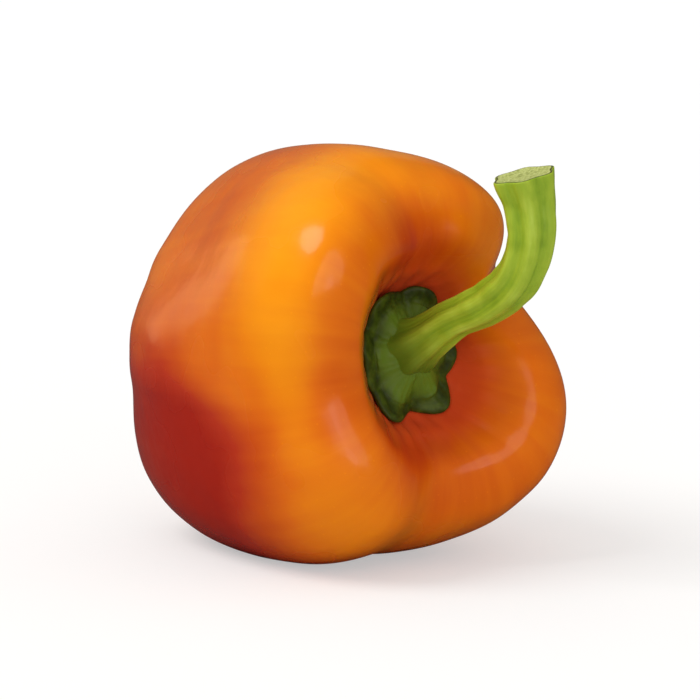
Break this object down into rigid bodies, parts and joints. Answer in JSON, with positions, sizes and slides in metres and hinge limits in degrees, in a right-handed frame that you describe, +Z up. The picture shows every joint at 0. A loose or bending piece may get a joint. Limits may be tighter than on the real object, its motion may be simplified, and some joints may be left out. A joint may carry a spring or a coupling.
{
  "type": "bell pepper",
  "caption": "Whole sweet bell pepper with uneven lobes, a green cap in its stem cavity and a bent, ribbed stem, lying on its side.",
  "frame": {"origin": "on the surface that the pepper lies on, under the middle of the box round the whole pepper", "axes": "+Z up, +X from the blossom end towards the stem end as the pepper lies, +Y to its left when looking along +X"},
  "size_m": [0.1038, 0.0726, 0.0815],
  "materials": {
    "skin": "waxy orange skin, glossy, with soft highlights and redder shade in the folds",
    "cap": "dark green, leathery",
    "stem": "yellow-green, fleshy, with lengthwise ribs and a pale cut end"
  },
  "bodies": {
    "root": {"fruit": "skin", "calyx": "cap", "stem": "stem"}
  },
  "joints": []
}
